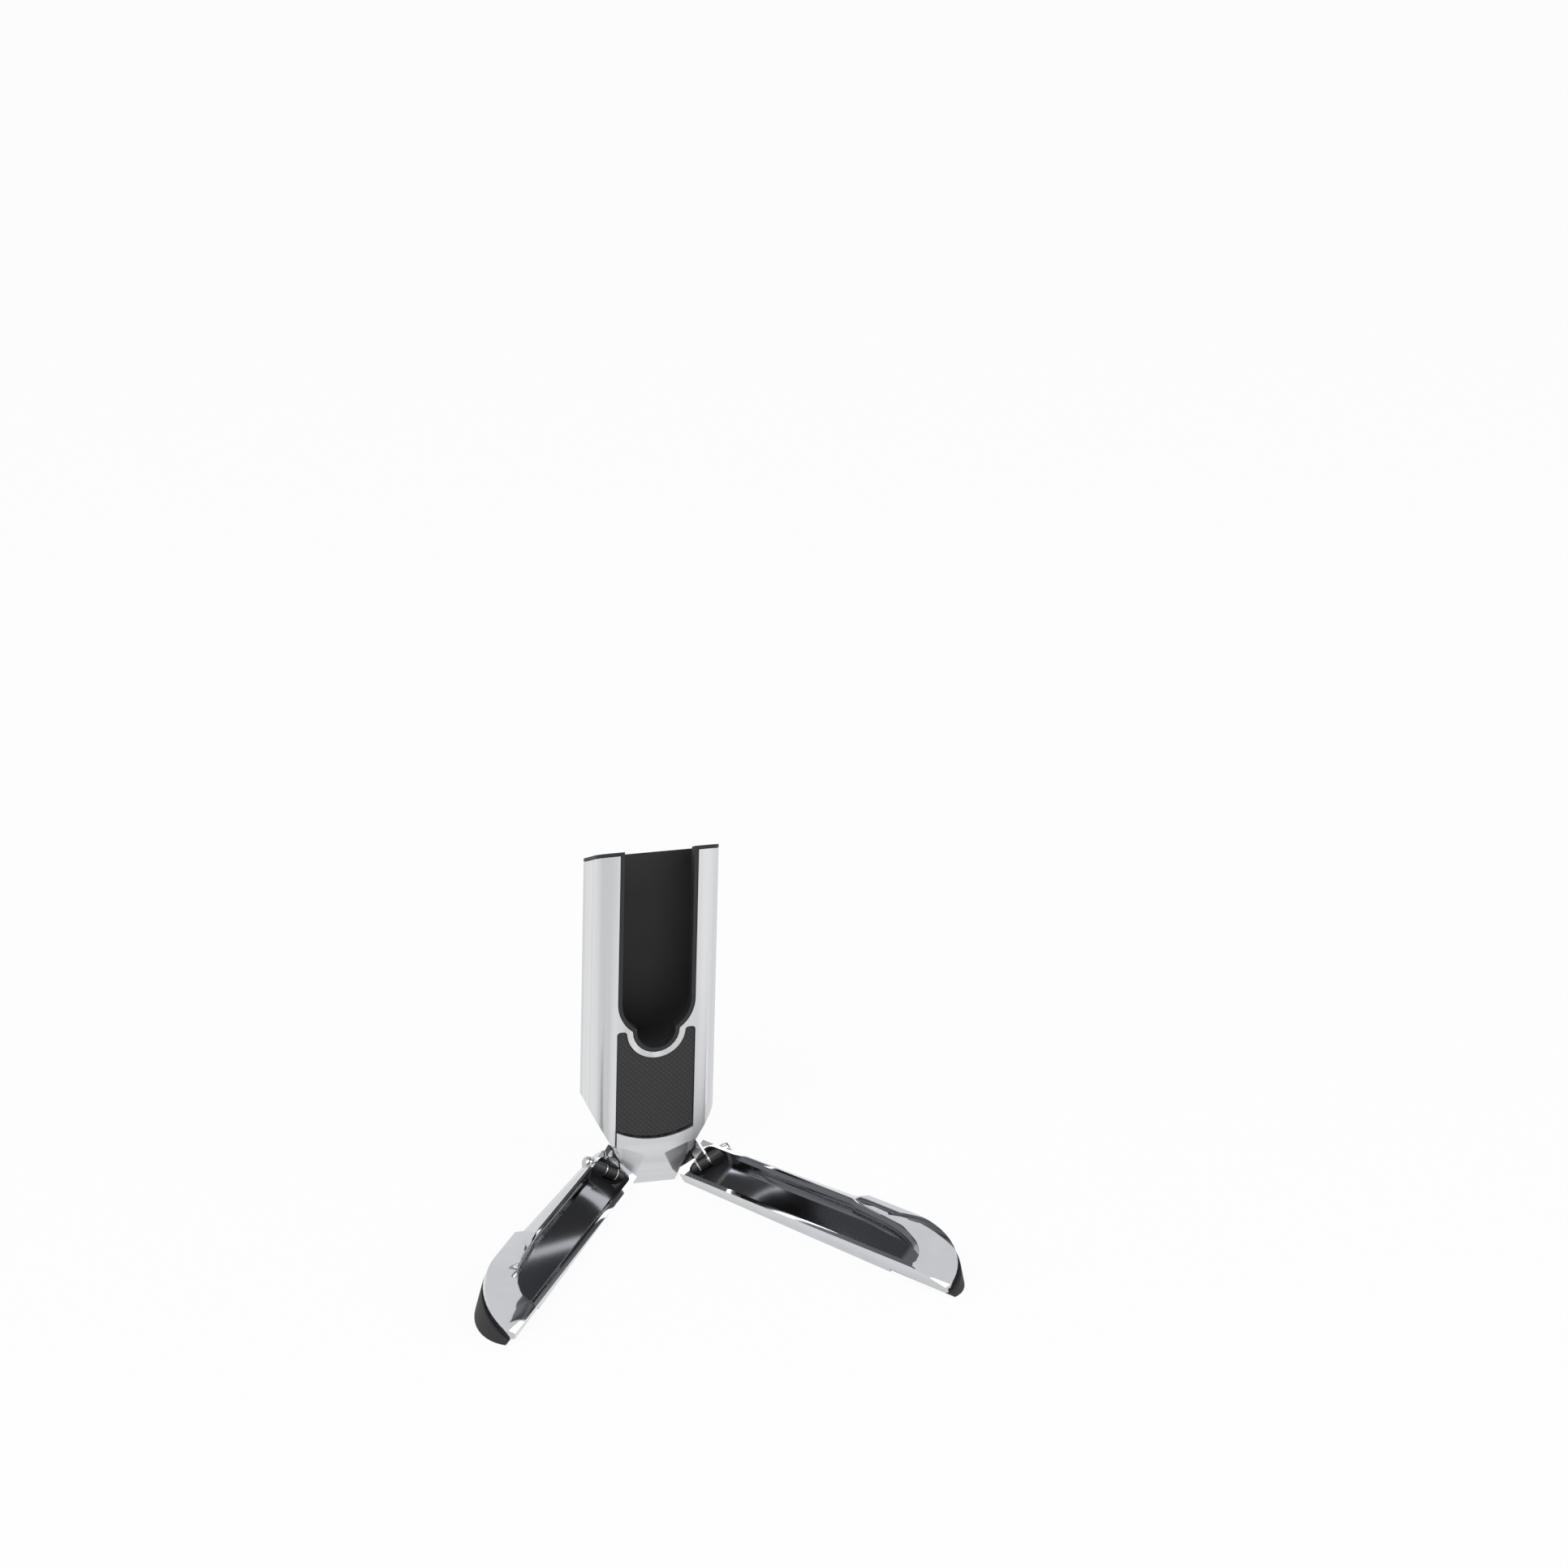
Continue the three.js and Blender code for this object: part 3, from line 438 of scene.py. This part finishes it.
def zinc_plated_steel(look):
    """Turned steel with bright zinc plate: neutral grey with fine lathe rings."""
    material, tree, shader, place = start_material(
        "zinc_plated_steel", look.hardware_colour, 1.0, 0.3
    )
    rings = noise(tree, place, 0.5, 3.0)
    bloom = noise(tree, place, 2.5)
    tree.links.new(spread(tree, bloom, 0.22, 0.4), shader.inputs["Roughness"])
    tree.links.new(tint(tree, bloom, look.hardware_colour, "C8C9C6"), shader.inputs["Base Color"])
    relief(tree, shader, rings, 0.008)
    return material


def machined_acetal(look):
    """Turned acetal: ivory, waxy, with faint tool marks."""
    material, tree, shader, place = start_material("machined_acetal", look.bush_colour, 0.0, 0.38)
    marks = noise(tree, place, 0.4)
    tree.links.new(spread(tree, marks, 0.3, 0.45), shader.inputs["Roughness"])
    tree.links.new(tint(tree, marks, look.bush_colour, "C9C2AE"), shader.inputs["Base Color"])
    relief(tree, shader, marks, 0.01)
    return material


def facet_space(side):
    """What a facet takes off the hub's front, as a mesh; the side is -1 for left and 1 for right."""
    (first_x, first_z), (second_x, second_z) = FACET_CORNERS[:2]
    from_edge = Vector((first_z - second_z, second_x - first_x)).normalized()
    shape = bmesh.new()
    for x, z in FACET_CORNERS:
        fall = FACET_FALL * from_edge.dot(Vector((x - first_x, z - first_z)))
        for y in (HUB_FRONT - CUT_MARGIN, HUB_FRONT + fall):
            shape.verts.new(Vector((side * x, y, z)) * MM)
    hull = bmesh.ops.convex_hull(shape, input=shape.verts)
    bmesh.ops.delete(shape, geom=hull["geom_interior"], context="VERTS")
    mesh = bpy.data.meshes.new("facet_space")
    shape.to_mesh(mesh)
    shape.free()
    return mesh


def faceted_hub():
    """The hub with a facet that falls back from its front beside each leg, in place of the plain one."""
    hub = bpy.data.objects.new("hub_with_facets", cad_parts["hinge_block"].data.copy())
    bpy.context.scene.collection.objects.link(hub)
    spaces = [bpy.data.objects.new("facet_space", facet_space(side)) for side in (-1, 1)]
    for space in spaces:
        bpy.context.scene.collection.objects.link(space)
        cut = hub.modifiers.new("facet", "BOOLEAN")
        cut.operation = "DIFFERENCE"
        cut.solver = "EXACT"
        cut.object = space
    bpy.context.view_layer.update()
    seen = hub.evaluated_get(bpy.context.evaluated_depsgraph_get())
    hub.data = bpy.data.meshes.new_from_object(seen)
    hub.modifiers.clear()
    for space in spaces:
        bpy.data.objects.remove(space)
    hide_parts("hinge_block")
    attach(hub, "cradle")
    return hub


def dress(piece, material, edge_mm, smooth_degrees):
    """Gives a piece its finish, a small broken edge and, above 0 degrees, smooth curves."""
    mesh = piece.data
    mesh.materials.clear()
    mesh.materials.append(material)
    if "custom_normal" in mesh.attributes:
        mesh.attributes.remove(mesh.attributes["custom_normal"])
    smooth = smooth_degrees > 0
    for face in mesh.polygons:
        face.use_smooth = smooth
    weld = piece.modifiers.new("seam", "WELD")
    weld.merge_threshold = SEAM_MM * MM
    if edge_mm:
        bevel = piece.modifiers.new("broken_edge", "BEVEL")
        bevel.width = edge_mm * MM
        bevel.segments = 2
        bevel.limit_method = "ANGLE"
        bevel.angle_limit = math.radians(max(smooth_degrees, BROKEN_EDGE_DEGREES))
        bevel.harden_normals = smooth
        bevel.use_clamp_overlap = True
    if not smooth:
        return
    split = piece.modifiers.new("crease", "EDGE_SPLIT")
    split.split_angle = math.radians(smooth_degrees)
    split.use_edge_sharp = False
    # Broad flat faces keep their own normal, so that only the narrow ones between them look round
    weighted = piece.modifiers.new("flat_faces", "WEIGHTED_NORMAL")
    weighted.mode = "FACE_AREA"
    weighted.weight = 80


class StandFinish(bpy.types.PropertyGroup):
    """Colours and finishes of the stand."""

    cradle_colour: bpy.props.StringProperty(
        name="Cradle", description="Hex colour of the anodised cradle and hub", default="C6C7C9"
    )
    cradle_roughness: bpy.props.FloatProperty(
        name="Cradle roughness", description="Satin level of the cradle", default=0.3,
        min=0.05, max=1, subtype="FACTOR",
    )
    leg_colour: bpy.props.StringProperty(
        name="Legs", description="Hex colour of the chromed legs", default="CACBCE"
    )
    leg_roughness: bpy.props.FloatProperty(
        name="Leg roughness", description="Haze of the chromed legs", default=0.045,
        min=0.0, max=1, subtype="FACTOR",
    )
    # Colour of the painted dark reflection on the floor of the dishes
    painted_dish_reflection: bpy.props.StringProperty(
        name="Dishes", description="Hex colour of the smoky plating in the dishes", default="7C7D81"
    )
    panel_colour: bpy.props.StringProperty(
        name="Front panel", description="Hex colour of the textured panel", default="1C1B1D"
    )
    weave_mm: bpy.props.FloatProperty(
        name="Weave", description="Width of one tow of the panel's weave, in millimetres",
        default=1.4, min=0.2, max=5,
    )
    liner_colour: bpy.props.StringProperty(
        name="Lining", description="Hex colour of the elastomer lining", default="131315"
    )
    seat_colour: bpy.props.StringProperty(
        name="Seat block", description="Hex colour of the moulded seat", default="37383B"
    )
    foot_colour: bpy.props.StringProperty(
        name="Foot pads", description="Hex colour of the rubber feet", default="1A1A1C"
    )
    hardware_colour: bpy.props.StringProperty(
        name="Hardware", description="Hex colour of pins, washers and screws", default="B6B8BA"
    )
    bush_colour: bpy.props.StringProperty(
        name="Bushes", description="Hex colour of the hinge bushes", default="DAD4C4"
    )
    edge_mm: bpy.props.FloatProperty(
        name="Broken edge", description="Width of the softened edges, in millimetres",
        default=0.22, min=0, max=1,
    )


class StandStage(bpy.types.PropertyGroup):
    """Floor, lamps and camera."""

    floor_size: bpy.props.FloatProperty(
        name="Floor", description="Side of the floor", default=12.0, unit="LENGTH"
    )
    key_power: bpy.props.FloatProperty(
        name="Key lamp", description="Power of the large front lamp", default=34.0, unit="POWER"
    )
    fill_power: bpy.props.FloatProperty(
        name="Fill lamp", description="Power of the side lamp", default=16.0, unit="POWER"
    )
    world_strength: bpy.props.FloatProperty(
        name="Surroundings", description="Strength of the pale surroundings", default=0.55
    )
    view_turn: bpy.props.FloatProperty(
        name="Turn", description="How far the camera stands to the left of the front",
        default=math.radians(16), subtype="ANGLE",
    )
    view_rise: bpy.props.FloatProperty(
        name="Rise", description="How far the camera looks down",
        default=math.radians(24), subtype="ANGLE",
    )
    view_roll: bpy.props.FloatProperty(
        name="Roll", description="Tilt of the picture", default=math.radians(1.6), subtype="ANGLE"
    )
    view_distance: bpy.props.FloatProperty(
        name="Distance", description="From the camera to the cradle", default=2.571, unit="LENGTH"
    )


class StandPiece:
    """What the operators of the pieces share."""

    bl_options = {"REGISTER", "UNDO"}

    def dress_all(self, nodes, material, smooth_degrees, edge=1.0):
        """Dresses nodes of the frame; the edge is a share of the finish's broken edge."""
        missing = [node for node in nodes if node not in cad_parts]
        if missing:
            raise RuntimeError(f"the frame has no {missing}")
        edge_mm = bpy.context.scene.stand_finish.edge_mm * edge
        for node in nodes:
            dress(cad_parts[node], material, edge_mm, smooth_degrees)
        return {"FINISHED"}


class STAND_OT_cradle(StandPiece, bpy.types.Operator):
    """Finishes the extruded cradle and the hub under it"""

    bl_idname = "stand.cradle"
    bl_label = "Cradle and hub"

    def execute(self, context):
        finish = context.scene.stand_finish
        extruded = satin_anodised_aluminium(finish, (1, 1, 0.01), "E0E1E2")
        self.dress_all(["cradle_shell"], extruded, smooth_degrees=30)
        dress(faceted_hub(), satin_hub(finish), finish.edge_mm, smooth_degrees=0)
        return {"FINISHED"}


class STAND_OT_lining(StandPiece, bpy.types.Operator):
    """Finishes the elastomer lining of the channel"""

    bl_idname = "stand.lining"
    bl_label = "Lining"

    def execute(self, context):
        material = moulded_elastomer(context.scene.stand_finish)
        return self.dress_all(["cradle_liner"], material, smooth_degrees=30, edge=0.5)


class STAND_OT_seat(StandPiece, bpy.types.Operator):
    """Finishes the moulded seat under the crank's end"""

    bl_idname = "stand.seat"
    bl_label = "Seat block"

    def execute(self, context):
        material = moulded_nylon(context.scene.stand_finish)
        return self.dress_all(["seat_block"], material, smooth_degrees=30, edge=0.5)


class STAND_OT_panel(StandPiece, bpy.types.Operator):
    """Finishes the textured panel under the cup"""

    bl_idname = "stand.panel"
    bl_label = "Front panel"

    def execute(self, context):
        material = woven_texture_panel(context.scene.stand_finish)
        return self.dress_all(["front_panel"], material, smooth_degrees=30)


class STAND_OT_legs(StandPiece, bpy.types.Operator):
    """Finishes the two chromed legs"""

    bl_idname = "stand.legs"
    bl_label = "Legs"

    def execute(self, context):
        material = polished_chrome(context.scene.stand_finish)
        nodes = [f"{side}_leg" for side in SIDES]
        return self.dress_all(nodes, material, smooth_degrees=38, edge=1.3)


class STAND_OT_feet(StandPiece, bpy.types.Operator):
    """Finishes the two rubber feet"""

    bl_idname = "stand.feet"
    bl_label = "Foot pads"

    def execute(self, context):
        material = moulded_rubber(context.scene.stand_finish)
        nodes = [f"{side}_foot_pad" for side in SIDES]
        return self.dress_all(nodes, material, smooth_degrees=35)


class STAND_OT_hardware(StandPiece, bpy.types.Operator):
    """Finishes the pins, washers and screws"""

    bl_idname = "stand.hardware"
    bl_label = "Pins, washers and screws"

    def execute(self, context):
        material = zinc_plated_steel(context.scene.stand_finish)
        nodes = [f"{place}_screw_{number}" for place in ("hub", "seat") for number in (1, 2)]
        for side in SIDES:
            nodes += [f"{side}_hinge_pin", f"{side}_spring_washer"]
            nodes += [f"{side}_foot_screw_{number}" for number in (1, 2)]
        return self.dress_all(nodes, material, smooth_degrees=35, edge=0.3)


class STAND_OT_bushes(StandPiece, bpy.types.Operator):
    """Finishes the flanged hinge bushes"""

    bl_idname = "stand.bushes"
    bl_label = "Hinge bushes"

    def execute(self, context):
        material = machined_acetal(context.scene.stand_finish)
        nodes = [f"{side}_hinge_bush" for side in SIDES]
        return self.dress_all(nodes, material, smooth_degrees=35, edge=0.3)


def seen_as_white(tree, shaded, share):
    """Mixes a surface with plain white where the camera, gloss or glass sees it."""
    ray = add_node(tree, "ShaderNodeLightPath").outputs
    seen = combined(tree, ray["Is Camera Ray"], ray["Is Glossy Ray"], "MAXIMUM")
    seen = combined(tree, seen, ray["Is Transmission Ray"], "MAXIMUM")
    factor = add_node(tree, "ShaderNodeMath", {0: seen}, {1: share}, operation="MULTIPLY")
    white = add_node(tree, "ShaderNodeEmission", values={"Color": (1, 1, 1, 1), "Strength": 1.0})
    return add_node(
        tree,
        "ShaderNodeMixShader",
        {0: factor.outputs[0], 1: shaded, 2: white.outputs[0]},
    ).outputs[0]


def seamless_paper():
    """Matt seamless paper, pale, with a fibre grain; seen nearly white with the stand's shadow on it."""
    material, tree, shader, place = start_material("seamless_paper", "F2F2F2", 0.0, 0.9)
    fibre = noise(tree, place, 3.0, 3.0)
    tree.links.new(tint(tree, fibre, "F0F0F0", "F5F5F5"), shader.inputs["Base Color"])
    shader.inputs["Specular IOR Level"].default_value = 0.1
    seen = seen_as_white(tree, shader.outputs[0], share=0.93)
    tree.links.new(seen, tree.nodes["Material Output"].inputs["Surface"])
    return material


def painted_reflection_card():
    """Glowing card, dark grey and softly uneven, seen only in mirror reflections: a painted reflection
    of dark surroundings.
    """
    material = bpy.data.materials.new("painted_reflection_card")
    material.use_nodes = True
    tree = material.node_tree
    tree.nodes.remove(tree.nodes["Principled BSDF"])
    cloud = noise(tree, add_node(tree, "ShaderNodeTexCoord").outputs["Object"], 350.0, 1.0)
    painted_dark = tint(tree, spread(tree, cloud, -0.6, 1.6), "38383A", "8C8D90")
    glow = add_node(tree, "ShaderNodeEmission", {"Color": painted_dark}, {"Strength": 1.0})
    tree.links.new(glow.outputs[0], tree.nodes["Material Output"].inputs["Surface"])
    return material


def flat_piece(name, width, depth, matrix, material):
    """A flat stage piece in a coarse grid, facing its own +Z."""
    mesh = bpy.data.meshes.new(name)
    shape = bmesh.new()
    bmesh.ops.create_grid(shape, x_segments=4, y_segments=4, size=0.5)
    bmesh.ops.scale(shape, vec=(width, depth, 1), verts=shape.verts)
    shape.to_mesh(mesh)
    shape.free()
    mesh.materials.append(material)
    piece = bpy.data.objects.new(name, mesh)
    piece.matrix_world = matrix
    bpy.context.scene.collection.objects.link(piece)
    return piece


def soft_lamp(name, place, target, size, power):
    """A large square area lamp aimed at a target."""
    lamp = bpy.data.lights.new(name, "AREA")
    lamp.size = size
    lamp.energy = power
    holder = bpy.data.objects.new(name, lamp)
    toward = (target - Vector(place)).to_track_quat("Z", "Y").to_matrix().to_4x4()
    # A lamp shines along its own -Z
    turned = toward @ Matrix.Rotation(math.pi, 4, "X")
    holder.matrix_world = Matrix.Translation(place) @ turned
    bpy.context.scene.collection.objects.link(holder)


class STAND_OT_stage(bpy.types.Operator):
    """Builds the floor, the surroundings, the lamps and the camera"""

    bl_idname = "stand.stage"
    bl_label = "Stage"
    bl_options = {"REGISTER", "UNDO"}

    def execute(self, context):
        scene = context.scene
        stage = scene.stand_stage
        floor = Matrix.Translation((0, 0, CAD_LOW.z - 0.05 * MM))
        flat_piece("floor", stage.floor_size, stage.floor_size, floor, seamless_paper())
        middle = (CAD_LOW + CAD_HIGH) / 2
        # One glowing dark card over what each dish reflects, seen only in reflections as a painted
        # reflection, with bright room between the two for the noses
        dark = painted_reflection_card()
        for name, width, depth, turn, x, y in (
            ("right_dish_card", 0.6, 0.6, -57, -0.42, 0.5),
            ("left_dish_card", 1.8, 2.6, 0, 1.35, 1.1),
        ):
            turned = Matrix.Rotation(math.radians(turn), 4, "Z")
            level = Matrix.Translation((x, y, CARD_LEVEL)) @ turned
            card = flat_piece(name, width, depth, level, dark)
            card.visible_camera = False
            card.visible_diffuse = False
            card.visible_shadow = False
        soft_lamp("key_lamp", (-1.4, -1.6, 1.9), middle, size=1.6, power=stage.key_power)
        soft_lamp("fill_lamp", (1.7, -1.2, 1.2), middle, size=1.4, power=stage.fill_power)
        self.surroundings(scene, stage.world_strength)
        self.camera(scene, stage)
        scene.view_settings.view_transform = "Standard"
        return {"FINISHED"}

    def surroundings(self, scene, strength):
        """Pale even surroundings, white where they are seen."""
        world = bpy.data.worlds.new("pale_surroundings")
        scene.world = world
        world.use_nodes = True
        tree = world.node_tree
        background = tree.nodes["Background"]
        background.inputs["Color"].default_value = linear("F6F6F6")
        background.inputs["Strength"].default_value = strength
        seen = seen_as_white(tree, background.outputs[0], share=1.0)
        tree.links.new(seen, tree.nodes["World Output"].inputs["Surface"])

    def camera(self, scene, stage):
        """The camera of the photo's view."""
        turn, rise, roll = stage.view_turn, stage.view_rise, stage.view_roll
        ahead = Vector(
            (
                math.sin(turn) * math.cos(rise),
                math.cos(turn) * math.cos(rise),
                -math.sin(rise),
            )
        )
        level = Vector((math.cos(turn), -math.sin(turn), 0))
        upright = level.cross(ahead)
        across = level * math.cos(roll) + upright * math.sin(roll)
        up = upright * math.cos(roll) - level * math.sin(roll)
        shift = (across * LOOKED_ASIDE.x + up * LOOKED_ASIDE.y) * MM
        place = LOOKED_AT * MM - ahead * stage.view_distance + shift
        lens = bpy.data.cameras.new("photo_view")
        lens.sensor_width = 36
        lens.lens = LENS_MM
        lens.clip_start = 0.05
        holder = bpy.data.objects.new("photo_view", lens)
        holder.matrix_world = Matrix(
            (
                (across.x, up.x, -ahead.x, place.x),
                (across.y, up.y, -ahead.y, place.y),
                (across.z, up.z, -ahead.z, place.z),
                (0, 0, 0, 1),
            )
        )
        scene.collection.objects.link(holder)
        scene.camera = holder


OPERATORS = (
    STAND_OT_cradle,
    STAND_OT_lining,
    STAND_OT_seat,
    STAND_OT_panel,
    STAND_OT_legs,
    STAND_OT_feet,
    STAND_OT_hardware,
    STAND_OT_bushes,
    STAND_OT_stage,
)


class STAND_PT_sidebar(bpy.types.Panel):
    """Lists the finishes, the stage and the steps"""

    bl_idname = "STAND_PT_sidebar"
    bl_label = "Display stand"
    bl_space_type = "VIEW_3D"
    bl_region_type = "UI"
    bl_category = "Display stand"

    def draw(self, context):
        column = self.layout.column()
        for group in (context.scene.stand_finish, context.scene.stand_stage):
            for name in group.bl_rna.properties.keys():
                if name not in {"rna_type", "name"}:
                    column.prop(group, name)
        for operator in OPERATORS:
            column.operator(operator.bl_idname)


CLASSES = (StandFinish, StandStage, *OPERATORS, STAND_PT_sidebar)


def register():
    for item in CLASSES:
        bpy.utils.register_class(item)
    bpy.types.Scene.stand_finish = bpy.props.PointerProperty(type=StandFinish)
    bpy.types.Scene.stand_stage = bpy.props.PointerProperty(type=StandStage)


def unregister():
    del bpy.types.Scene.stand_stage
    del bpy.types.Scene.stand_finish
    for item in reversed(CLASSES):
        bpy.utils.unregister_class(item)


def main():
    """Runs every step once."""
    register()
    for operator in OPERATORS:
        group, name = operator.bl_idname.split(".")
        getattr(getattr(bpy.ops, group), name)()


if __name__ == "__main__":
    main()
